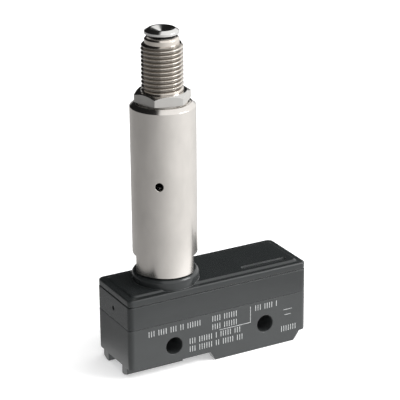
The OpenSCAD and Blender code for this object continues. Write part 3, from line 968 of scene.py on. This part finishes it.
@dataclass
class Cover:
    """Upper half of the case, with the raised panel, the recess and the collar."""

    outline: CaseOutline
    base: Base
    edge: float = 0.14 * MM
    lip_low: float = 18.75 * MM
    lip_high: float = 18.95 * MM
    lip_set: float = 0.3 * MM
    rim_z: float = 20.6 * MM
    rim_round: float = 0.4 * MM
    panel_z: float = 21.0 * MM
    riser: tuple[float, float] = (1.6 * MM, 2.0 * MM)
    ceiling_z: float = 18.6 * MM
    collar_r: float = 8.17 * MM
    collar_round: float = 1.0 * MM
    socket_r: float = 6.22 * MM
    pin_bore: float = 2.55 * MM
    slot_centre: tuple[float, float] = (14.6 * MM, -4.87 * MM)
    slot_size: tuple[float, float, float] = (12.8 * MM, 1.5 * MM, 0.3 * MM)

    def build(self) -> None:
        """Builds the cover and hands it over."""
        body = self.shell()
        combine(body, self.collar(), Join.WELD)
        combine(body, self.base.cavity(CASE_TOP - MM, self.ceiling_z), Join.CUT)
        combine(body, self.socket(), Join.CUT)
        combine(body, self.slot_tool(), Join.CUT)
        for side in (-1, 1):
            combine(body, self.base.pin_tool(side), Join.CUT)
        hand_over(body, Slot.COVER_PLASTIC, Body.HOUSING, ["cover"], flat=True)

    def shell(self) -> Node:
        """Raises the solid body of the cover, with its groove, rim and panel."""
        e, z = self.edge, self.rim_z
        lip, slack = self.lip_set, 0.05 * MM
        rim = quarter_round(slack, z, self.rim_round)
        steps = [
            (e, CASE_TOP), (e * 0.35, CASE_TOP + e * 0.35), (0, CASE_TOP + e),
            (0, self.lip_low - e), (e * 0.35, self.lip_low - e * 0.35),
            (e, self.lip_low), (lip, self.lip_low), (lip, self.lip_high),
            (slack + e, self.lip_high), (slack, self.lip_high + e), *rim,
            (self.riser[0] - 0.1 * MM, z), (self.riser[0], z + 0.03 * MM),
            (self.riser[1] - 0.1 * MM, self.panel_z - 0.07 * MM),
            (self.riser[1], self.panel_z - 0.01 * MM), (self.riser[1] + 0.12 * MM, self.panel_z),
        ]
        return self.outline.raised("cover_body", steps)

    def collar(self) -> Node:
        """Turns the round collar that carries the tube."""
        low, high = self.rim_z - 0.5 * MM, COVER_HIGH.z
        return turned_on_axis(
            "collar",
            [(0, low), (self.collar_r, low), (self.collar_r, high, self.collar_round), (0, high)],
            closed=False, steps=128,
        )

    def socket(self) -> Node:
        """Turns the tool that cuts the tube's socket and the pin's bore below it."""
        high = COVER_HIGH.z
        mouth = 0.15 * MM
        outline = [
            (0, self.ceiling_z - MM), (self.pin_bore, self.ceiling_z - MM),
            (self.pin_bore, self.panel_z), (self.socket_r, self.panel_z),
            (self.socket_r, high - mouth), (self.socket_r + mouth, high),
            (self.socket_r + mouth, high + MM), (0, high + MM),
        ]
        return turned_on_axis("socket", outline, closed=False)

    def slot_tool(self) -> Node:
        """Makes the tool that cuts the shallow recess with round ends."""
        length, width, depth = self.slot_size
        x, y = self.slot_centre
        low = (x - length / 2, y - width / 2, self.panel_z - depth)
        tool = block("recess", low, (x + length / 2, y + width / 2, self.panel_z + MM))
        bevel_edges(tool, upright, width / 2 - 0.02 * MM, 8)
        bevel_edges(tool, lambda a, b: max(a.z, b.z) < self.panel_z - depth / 2, 0.1 * MM, 3)
        return tool


@dataclass
class PrintedMarks:
    """Plain strokes and rules on the front face, where the real one is printed."""

    plane_y: float = CASE_LOW.y
    thickness: float = 2 * SKIN
    stroke: float = 0.19 * MM
    pitch: float = 0.66 * MM
    height: float = 1.3 * MM
    rule: float = 0.14 * MM
    rows: tuple[tuple[float, float, str], ...] = (
        (-19.6 * MM, 11.0 * MM, "111 1111 111 11 111111"),
        (-2.2 * MM, 11.2 * MM, "1111 111111"),
        (-2.2 * MM, 9.0 * MM, "1111 111111"),
        (9.9 * MM, 11.3 * MM, "111 1111 1"),
        (-8.5 * MM, 6.7 * MM, "111 111111 1 11111 111"),
        (-8.5 * MM, 4.6 * MM, "111 111111 11 11111 111"),
        (17.4 * MM, 3.9 * MM, "1111111"),
    )
    rules: tuple[tuple[float, float, float, float], ...] = (
        (8.5 * MM, 8.5 * MM, 7.9 * MM, 12.0 * MM),
        (-0.2 * MM, 8.5 * MM, 7.8 * MM, 7.8 * MM),
        (18.0 * MM, 20.4 * MM, 9.0 * MM, 9.0 * MM),
        (18.4 * MM, 20.0 * MM, 7.6 * MM, 7.6 * MM),
    )

    def build(self) -> None:
        """Builds all the marks as one piece and hands it over."""
        strokes = [stroke for row in self.rows for stroke in self.row_strokes(*row)]
        rules = [self.mark(*ends, self.rule) for ends in self.rules]
        marks = joined("printed_marks", [*strokes, *rules])
        hand_over(marks, Slot.BLACK_PLASTIC, Body.HOUSING, finish=Ink())

    def row_strokes(self, x: float, z: float, word: str) -> Iterator[Node]:
        """Makes the upright strokes of one row.

        Args:
            x: Left end of the row.
            z: Height of its middle.
            word: One character for each place, where a space leaves the place empty.

        Yields:
            One stroke after another.
        """
        low, high = z - self.height / 2, z + self.height / 2
        for place, sign in enumerate(word):
            if sign != " ":
                middle = x + place * self.pitch + self.stroke / 2
                yield self.mark(middle, middle, low, high, self.stroke)

    def mark(self, x0: float, x1: float, z0: float, z1: float, width: float) -> Node:
        """Makes one straight mark between two points of the front face."""
        half = width / 2
        low = (x0 - half, self.plane_y, z0 - half)
        high = (x1 + half, self.plane_y + self.thickness, z1 + half)
        return soft_block("mark", low, high, 0.004 * MM)


# ---------------------------------------------------------------- tube and plunger


@dataclass
class Tube:
    """Long plated tube with its gasket."""

    bottom: float = 23.6 * MM
    flat_x: float = 6.85 * MM
    flat_top: float = 28.0 * MM
    flat_angle: float = math.radians(-29)
    spigot_r: float = 6.2 * MM
    spigot_bore: float = 4.4 * MM
    bore_r: float = 5.6 * MM
    bore_low: float = 27 * MM
    bore_top: float = 58 * MM
    thread_r: float = 4.5 * MM
    shoulder_z: float = 64.8 * MM
    top_r: float = 6.8 * MM
    vent_r: float = 1.0 * MM
    vent_z: float = 47 * MM
    vent_band: float = 1.35 * MM
    vent_angle: float = math.radians(234.5)
    gasket_gap: float = 0.02 * MM

    def build(self) -> None:
        """Builds the tube and its gasket."""
        low, high = TUBE_LOW.z, TUBE_HIGH.z
        outline = [
            (self.spigot_bore, low), (self.spigot_r, low, 0.2 * MM), (self.spigot_r, self.bottom),
            (TUBE_R, self.bottom, 0.16 * MM), (TUBE_R, self.vent_z - self.vent_band),
            (TUBE_R, self.vent_z + self.vent_band), (TUBE_R, self.shoulder_z, 0.1 * MM),
            (self.top_r, high, 0.1 * MM), (self.thread_r, high), (self.thread_r, self.bore_top),
            (self.bore_r, self.bore_top), (self.bore_r, self.bore_low),
            (self.spigot_bore, self.bore_low),
        ]
        tube = turned_on_axis("tube", outline, steps=144)
        combine(tube, self.vent_tool(), Join.CUT)
        for turned_by in (0, math.pi):
            combine(tube, self.flat_tool(turned_by), Join.CUT)
        hand_over(tube, Slot.SATIN_NICKEL, Body.HOUSING, ["actuator_tube"], 24)
        (low, high), outer = ends("tube_gasket"), half_width("tube_gasket")
        inner = self.spigot_r + self.gasket_gap
        ring = [(inner, low), (outer, low, 0.06 * MM), (outer, high, 0.06 * MM), (inner, high)]
        gasket = turned_on_axis("gasket", ring)
        hand_over(gasket, Slot.BLACK_RUBBER, Body.HOUSING, ["tube_gasket"])

    def flat_tool(self, turned_by: float) -> Node:
        """Makes the cutter of one wrench flat, which ends in a square shoulder.

        Args:
            turned_by: Turn about the axis, from the first flat to this one.
        """
        low = (self.flat_x, -TUBE_R - MM, self.bottom - MM)
        tool = block("wrench_flat", low, (TUBE_R + MM, TUBE_R + MM, self.flat_top))
        turned = Matrix.Rotation(self.flat_angle + turned_by, 4, "Z")
        return lay_along(tool, Matrix.Translation((AXIS_X, 0, 0)) @ turned)

    def vent_tool(self) -> Node:
        """Makes the cutter of the vent hole, flared where it meets the tube's skin."""
        length = 8 * MM
        tool = flared_pin("vent", self.vent_r, length, 0.2 * MM, 48)
        reach = TUBE_R - length / 2 + 0.02 * MM
        spot = Matrix.Translation((AXIS_X, 0, self.vent_z))
        facing = Matrix.Rotation(self.vent_angle, 4, "Z") @ Matrix.Translation((reach, 0, 0))
        return lay_along(tool, spot @ facing @ Matrix.Rotation(math.pi / 2, 4, "Y"))


@dataclass
class HexNut:
    """Nut that locks the bush on the tube's top."""

    across_flats: float = 12.0 * MM
    angle: float = math.radians(46.5)
    bore_r: float = 4.5 * MM
    flat_r: float = 5.75 * MM
    washer_r: float = 5.9 * MM
    washer_h: float = 0.3 * MM
    washer_rise: float = 0.25 * MM
    corner_round: float = 0.1 * MM
    chamfer_steepness: float = 1.9
    bore_chamfer: tuple[float, float] = (0.65 * MM, 0.6 * MM)

    def build(self) -> None:
        """Builds the nut: a hexagonal block, trimmed by a turned envelope and bored."""
        low, high = ends("hex_nut")
        corner_r = self.across_flats / 2 / math.cos(math.pi / 6)
        chamfer = (corner_r - self.flat_r) * math.tan(math.pi / 6)
        deselect()
        bpy.ops.mesh.primitive_cylinder_add(
            vertices=6, radius=corner_r, depth=high - low, location=(0, 0, 0)
        )
        nut = settle(bpy.context.object)
        nut.name = nut.data.name = "nut"
        bevel_edges(nut, upright, self.corner_round, 3)
        # A primitive cylinder's first corner points along +Y.
        spot = Matrix.Translation((AXIS_X, 0, (low + high) / 2))
        lay_along(nut, spot @ Matrix.Rotation(self.angle - math.pi / 2, 4, "Z"))
        wide = corner_r + MM
        envelope = [
            (0, low), (self.washer_r, low, 0.05 * MM), (self.washer_r, low + self.washer_h),
            (wide, low + self.washer_h + self.washer_rise),
            (wide, high - chamfer * self.chamfer_steepness),
            (self.flat_r, high, 0.08 * MM), (0, high),
        ]
        combine(nut, turned_on_axis("envelope", envelope, closed=False, steps=120), Join.COMMON)
        mouth_r, depth = self.bore_r + self.bore_chamfer[0], self.bore_chamfer[1]
        bore = [
            (0, low - MM), (self.bore_r, low - MM), (self.bore_r, high - depth),
            (mouth_r, high), (mouth_r, high + MM), (0, high + MM),
        ]
        combine(nut, turned_on_axis("bore", bore, closed=False), Join.CUT)
        hand_over(nut, Slot.NUT_NICKEL, Body.HOUSING, ["hex_nut"], 20)


@dataclass
class ThreadedBush:
    """Bush with a real helical mounting thread and a plain neck."""

    pitch: float = 1.0 * MM
    thread_r: float = 5.0 * MM
    shank_r: float = 4.5 * MM
    thread_low: float = 68.5 * MM
    thread_high: float = 79.9 * MM
    chamfer: float = 0.45 * MM
    neck_r: float = 4.15 * MM
    neck_chamfer: float = 0.4 * MM
    bore_r: float = 2.05 * MM
    wiper_r: float = 3.2 * MM
    wiper_low: float = 79.8 * MM
    wiper_gap: float = 0.01 * MM
    wiper_bore: float = 2.03 * MM
    wiper_lip: tuple[float, float] = (2.6 * MM, 0.25 * MM)
    steps: int = 72
    shade_root: float = 0.52
    shade_crest: float = 0.08 * MM

    def build(self) -> None:
        """Turns the bush, cuts its thread and hands it over with the wiper."""
        low, high = ends("threaded_bush")
        c = self.chamfer
        outline = [
            (self.bore_r, low), (self.shank_r, low, 0.2 * MM), (self.shank_r, self.thread_low),
            (self.thread_r, self.thread_low), (self.thread_r, self.thread_high - c),
            (self.thread_r - c, self.thread_high), (self.neck_r, self.thread_high),
            (self.neck_r, high - self.neck_chamfer, 0.1 * MM),
            (self.neck_r - self.neck_chamfer, high, 0.08 * MM), (self.wiper_r, high),
            (self.wiper_r, self.wiper_low), (self.bore_r, self.wiper_low),
        ]
        bush = turned_on_axis("bush", outline)
        combine(bush, self.groove_tool(), Join.CUT)
        # Painted shade: the bush's finish darkens the roots of its thread.
        roots = (
            AXIS_X, self.thread_r - self.shade_root * self.pitch, self.thread_r - self.shade_crest
        )
        finish = Plating((0.69, 0.64, 0.585), 0.13, roots=roots)
        hand_over(bush, Slot.SATIN_NICKEL, Body.HOUSING, ["threaded_bush"], 24, finish=finish)
        low, high = ends("wiper_ring")
        outer, (lip_r, lip_drop) = self.wiper_r - self.wiper_gap, self.wiper_lip
        lip = [
            (self.wiper_bore, low), (outer, low, 0.1 * MM), (outer, high, 0.15 * MM),
            (lip_r, high - lip_drop), (self.wiper_bore, high, 0.05 * MM),
        ]
        hand_over(turned_on_axis("wiper", lip), Slot.BLACK_RUBBER, Body.HOUSING, ["wiper_ring"])

    def groove_tool(self) -> Node:
        """Winds the cutter of the thread: one groove's section swept along the helix."""
        height = self.pitch * math.sqrt(3) / 2
        root_r = self.thread_r - 0.625 * height
        half_root, half_mouth = self.pitch / 8, self.pitch * 7 / 16
        out_r = self.thread_r + 0.4 * MM
        section = [
            (root_r, -half_root), (self.thread_r, -half_mouth), (out_r, -half_mouth),
            (out_r, half_mouth), (self.thread_r, half_mouth), (root_r, half_root),
        ]
        deselect()
        bpy.ops.mesh.primitive_circle_add(vertices=6, radius=MM, fill_type="NOTHING")
        groove = bpy.context.object
        groove.name = groove.data.name = "groove"
        for vertex, (radius, z) in zip(groove.data.vertices, section):
            vertex.co = (radius, 0, z)
        turns = math.ceil((self.thread_high - self.thread_low) / self.pitch) + 1
        wind(groove, self.pitch, turns, self.steps)
        start = self.thread_low + self.pitch * 0.2
        return lay_along(groove, Matrix.Translation((AXIS_X, 0, start)))


@dataclass
class PlungerHead:
    """Round head with a centre dimple, on its polished stem."""

    stem_r: float = 2.0 * MM
    head_low: float = 82.2 * MM
    edge_z: float = 82.85 * MM
    flat_r: float = 3.15 * MM
    dimple_r: float = 2.65 * MM
    dimple_depth: float = 0.9 * MM
    dimple_floor: Span = (0.5 * MM, 0.9)

    def build(self) -> None:
        """Turns the head and stem as one piece."""
        low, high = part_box("plunger_head")
        head_r = half_width("plunger_head")
        floor_r, share = self.dimple_floor
        outline = [
            (0, low.z), (self.stem_r, low.z, 0.15 * MM), (self.stem_r, self.head_low, 0.15 * MM),
            (head_r, self.head_low, 0.12 * MM), (head_r, self.edge_z, 0.1 * MM),
            (self.flat_r, high.z, 0.1 * MM), (self.dimple_r, high.z, 0.12 * MM),
            (floor_r, high.z - self.dimple_depth * share, 0.3 * MM),
            (0, high.z - self.dimple_depth),
        ]
        head = turned_on_axis("head", outline, closed=False)
        hand_over(head, Slot.POLISHED_STEEL, Body.PLUNGER, ["plunger_head"], 24)


@dataclass
class ReturnSpring:
    """Coil spring between the guide bush and the cup; the real one shortens with the plunger, this one
    keeps its rest length.
    """

    wire_r: float = 0.4 * MM
    coil_r: float = 3.3 * MM
    turns: int = 11
    seat: float = 32 * MM

    def build(self) -> None:
        """Winds the spring at its rest length and hands it over on the housing."""
        low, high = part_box("return_spring")
        deselect()
        bpy.ops.mesh.primitive_circle_add(
            vertices=12, radius=self.wire_r, location=(self.coil_r, 0, 0),
            rotation=(math.pi / 2, 0, 0),
        )
        spring = settle(bpy.context.object)
        spring.name = spring.data.name = "spring"
        wind(spring, (high.z - low.z - 2 * self.wire_r) / self.turns, self.turns, 36)
        lay_along(spring, Matrix.Translation((AXIS_X, 0, low.z + self.wire_r)))
        hand_over(spring, Slot.SPRING_STEEL, Body.HOUSING, ["return_spring"])
        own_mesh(spring)


@dataclass
class TerminalScrews:
    """Three slotted screws and their toothed washers, heads down."""

    centres: tuple[float, ...] = (-20.2 * MM, 0, 19.8 * MM)
    head_r: float = 3.4 * MM
    head_low: float = 2.45 * MM
    head_high: float = 4.6 * MM
    shank_r: float = 1.97 * MM
    shank_top: float = 8.2 * MM
    slot: tuple[float, float] = (1.0 * MM, 1.1 * MM)

    def build(self) -> None:
        """Models one screw, copies it and hands the three over as one piece."""
        outline = [
            (0, self.head_low), (self.head_r - 0.6 * MM, self.head_low, 0.6 * MM),
            (self.head_r, self.head_low + 1.1 * MM, 0.35 * MM),
            (self.head_r, self.head_high, 0.12 * MM), (self.shank_r, self.head_high),
            (self.shank_r, self.shank_top, 0.3 * MM), (0, self.shank_top),
        ]
        screw = turn("screw", outline, 0, closed=False, steps=64)
        wide, deep = self.slot
        low = (-self.head_r - MM, -wide / 2, self.head_low - MM)
        high = (self.head_r + MM, wide / 2, self.head_low + deep)
        combine(screw, block("driver_slot", low, high), Join.CUT)
        copies = [copy_of(screw, f"screw_{i}", (x, 0, 0)) for i, x in enumerate(self.centres)]
        bpy.data.objects.remove(screw)
        screws = joined("screws", copies)
        hand_over(screws, Slot.ZINC_STEEL, Body.HOUSING, ["terminal_screws"])
        washers = soften("terminal_washers", 0.05 * MM)
        hand_over(washers, Slot.ZINC_STEEL, Body.HOUSING, ["terminal_washers"])


# ---------------------------------------------------------------- stage


@dataclass
class Camera:
    """The camera, by its place, its three turns and its lens."""

    place: tuple[float, float, float] = (-0.19434, -0.35433, 0.19518)
    yaw: float = 29.22
    pitch: float = 20.76
    roll: float = -0.28
    lens: float = 161.21
    shift: tuple[float, float] = (-0.03996, -0.0307)

    def build(self) -> None:
        """Adds the camera and makes it the scene's own."""
        data = bpy.data.cameras.new("camera")
        data.lens = self.lens
        data.sensor_width = 36
        data.shift_x, data.shift_y = self.shift
        data.clip_start = 0.01
        camera = bpy.data.objects.new("camera", data)
        bpy.context.scene.collection.objects.link(camera)
        aim = (
            Matrix.Rotation(math.radians(-self.yaw), 4, "Z")
            @ Matrix.Rotation(math.radians(90 - self.pitch), 4, "X")
            @ Matrix.Rotation(math.radians(self.roll), 4, "Z")
        )
        camera.matrix_world = Matrix.Translation(self.place) @ aim
        bpy.context.scene.camera = camera


@dataclass
class Studio:
    """Pale floor and backdrop, soft lights and a surround that is darker on the left."""

    right: tuple[float, float, float] = (0.872, -0.49, 0)
    bright: tuple[float, float, float] = (0.774, -0.665, 0.2)
    side_stops: tuple[Span, ...] = ((0, 0.36), (0.25, 0.5), (0.5, 0.68), (0.75, 0.95), (1, 1.2))
    above_stops: tuple[Span, ...] = ((0, 0.01), (0.5, 0.02), (0.54, 0.25), (0.575, 1.1), (1, 1.4))
    horizon: Span = (-0.1, 0.15)
    floor_half: float = 4.0
    floor_grey: tuple[float, float, float] = (0.9, 0.9, 0.9)
    floor_glow: float = 0.4
    near_r: float = 0.045
    near_place: tuple[float, float, float] = (0.015, 0, -0.0001)
    near_glow: float = 1.3
    lamp_aim: tuple[float, float, float] = (0, 0, 0.03)

    def build(self) -> None:
        """Adds the floor, the backdrop, the lights and the surround."""
        self.floor()
        self.backdrop()
        self.surround()
        self.lamp("key", (0.7, -0.5, 0.6), 0.5, 6.5)
        self.lamp("top", (0.0, 0.1, 1.3), 1.6, 6, seen=False)

    def floor(self) -> None:
        """Adds the floor, and the near part of it that shows in glossy faces."""
        bpy.ops.mesh.primitive_plane_add(size=2 * self.floor_half)
        floor = bpy.context.object
        floor.name = "floor"
        floor.visible_glossy = False
        paper = Recipe("paper")
        tone = paper.noise((0.5, 0.5, 0.5))
        paper.colour(self.floor_grey, 0.01, tone, self.floor_grey, 0, tone)
        paper.shader.inputs["Roughness"].default_value = 0.9
        paper.shader.inputs["Specular IOR Level"].default_value = 0.0
        paper.shader.inputs["Emission Color"].default_value = (1, 1, 1, 1)
        paper.shader.inputs["Emission Strength"].default_value = self.floor_glow
        floor.data.materials.append(paper.material)
        bpy.ops.mesh.primitive_circle_add(
            vertices=64, radius=self.near_r, fill_type="NGON", location=self.near_place
        )
        self.glow("floor_sheen", self.near_glow)
        bpy.context.object.visible_camera = False

    def backdrop(self) -> None:
        """Adds a pale dome, which only the camera sees, behind everything."""
        bpy.ops.mesh.primitive_uv_sphere_add(segments=64, ring_count=32, radius=self.floor_half)
        self.glow("backdrop", 1.0)
        bpy.context.object.visible_glossy = False
        bpy.context.object.visible_transmission = False

    @staticmethod
    def glow(name: str, strength: float) -> None:
        """Makes the active object a stage piece that glows evenly and lights nothing.

        Args:
            name: Name of the object and its material.
            strength: Strength of the glow.
        """
        stage = bpy.context.object
        stage.name = name
        stage.visible_diffuse = stage.visible_shadow = False
        glow = Recipe(name)
        glow.shader.inputs["Base Color"].default_value = (0, 0, 0, 1)
        glow.shader.inputs["Emission Color"].default_value = (1, 1, 1, 1)
        glow.shader.inputs["Emission Strength"].default_value = strength
        stage.data.materials.append(glow.material)

    def surround(self) -> None:
        """Sets a world that is brighter on the right, with a sharper edge above the horizon."""
        world = bpy.data.worlds.new("surround")
        bpy.context.scene.world = world
        world.use_nodes = True
        graph = Graph(world.node_tree)
        background = graph.tree.nodes["Background"]
        place = graph.add("ShaderNodeTexCoord").outputs["Generated"]
        mix = graph.add("ShaderNodeMix", data_type="RGBA")
        parts = (("A", self.right, self.side_stops), ("B", self.bright, self.above_stops))
        for socket, way, stops in parts:
            across = graph.add("ShaderNodeVectorMath", operation="DOT_PRODUCT")
            across.inputs[1].default_value = way
            graph.link(place, across.inputs[0])
            ramp = self.ramp(graph, across.outputs["Value"], (-1, 1), stops)
            graph.link(ramp, mix.inputs[socket])
        split = graph.add("ShaderNodeSeparateXYZ")
        graph.link(place, split.inputs[0])
        height = self.ramp(graph, split.outputs["Z"], self.horizon, ((0, 0), (1, 1)))
        graph.link(height, mix.inputs["Factor"])
        graph.link(mix.outputs["Result"], background.inputs["Color"])
        background.inputs["Strength"].default_value = 1.0

    @staticmethod
    def ramp(graph: Graph, source: Socket, span: Span, stops: Sequence[Span]) -> Socket:
        """Adds a grey ramp over part of a value's range.

        Args:
            graph: Tree that the nodes go into.
            source: Socket with the value.
            span: Values at the ramp's two ends.
            stops: Pairs of a position from 0 to 1 and a brightness.
        """
        ramp = graph.add("ShaderNodeValToRGB")
        ramp.color_ramp.interpolation = "EASE" if len(stops) == 2 else "LINEAR"
        elements = ramp.color_ramp.elements
        while len(elements) < len(stops):
            elements.new(0.5)
        for element, (position, grey) in zip(elements, stops):
            element.position = position
            element.color = (grey, grey, grey, 1)
        graph.link(graph.mapped(source, span), ramp.inputs["Fac"])
        return ramp.outputs["Color"]

    def lamp(
        self, name: str, place: Sequence[float], size: float, power: float, seen: bool = True
    ) -> None:
        """Adds a square soft light aimed at the object.

        Args:
            name: Name of the light.
            place: Where it hangs.
            size: Side of the square.
            power: Power in watts.
            seen: Whether it shows in glossy faces.
        """
        data = bpy.data.lights.new(name, "AREA")
        data.size = size
        data.energy = power
        lamp = bpy.data.objects.new(name, data)
        bpy.context.scene.collection.objects.link(lamp)
        lamp.location = place
        aim = Vector(self.lamp_aim) - Vector(place)
        lamp.rotation_euler = aim.to_track_quat("-Z", "Y").to_euler()
        lamp.visible_glossy = seen


# ---------------------------------------------------------------- the whole switch


def build_inner_parts() -> None:
    """Replaces the stamped and turned inner parts by copies with softened edges."""
    inner = {
        "cover_pins": (Body.HOUSING, 0.08 * MM),
        "com_terminal": (Body.HOUSING, 0.06 * MM),
        "no_terminal": (Body.HOUSING, 0.06 * MM),
        "nc_terminal": (Body.HOUSING, 0.06 * MM),
        "blade_bracket": (Body.HOUSING, 0.06 * MM),
        "no_contact": (Body.HOUSING, 0.1 * MM),
        "nc_contact": (Body.HOUSING, 0.1 * MM),
        "guide_bush": (Body.HOUSING, 0.15 * MM),
        "actuating_leaf": (Body.LEAF, 0.05 * MM),
        "snap_blade": (Body.BLADE, 0.05 * MM),
        "moving_contact": (Body.BLADE, 0.08 * MM),
        "toggle_spring": (Body.TOGGLE, 0.04 * MM),
        "pin_plunger": (Body.SWITCH_PIN, 0.12 * MM),
        "push_rod": (Body.PLUNGER, 0.1 * MM),
        "spring_cup": (Body.PLUNGER, 0.1 * MM),
        "retaining_ring": (Body.PLUNGER, 0.06 * MM),
        "tip_nut": (Body.PLUNGER, 0.08 * MM),
        "push_tip": (Body.PLUNGER, 0.15 * MM),
    }
    slots = {part["node"]: part["material_slot"] for part in frame["record"]["subparts"]}
    for node, (body, width) in inner.items():
        hand_over(soften(node, width), Slot(slots[node]), body, [node])


def main() -> None:
    """Builds the switch, its stage and the camera."""
    logging.basicConfig(level=logging.INFO, format="%(message)s", stream=sys.stdout)
    bpy.context.scene.view_settings.view_transform = "Standard"
    SHOP.dress_nodes()
    outline = CaseOutline()
    base = Base(outline)
    base.build()
    Cover(outline, base).build()
    PrintedMarks().build()
    Tube().build()
    HexNut().build()
    ThreadedBush().build()
    PlungerHead().build()
    ReturnSpring().build()
    TerminalScrews().build()
    build_inner_parts()
    Studio().build()
    Camera().build()


if __name__ == "__main__":
    main()
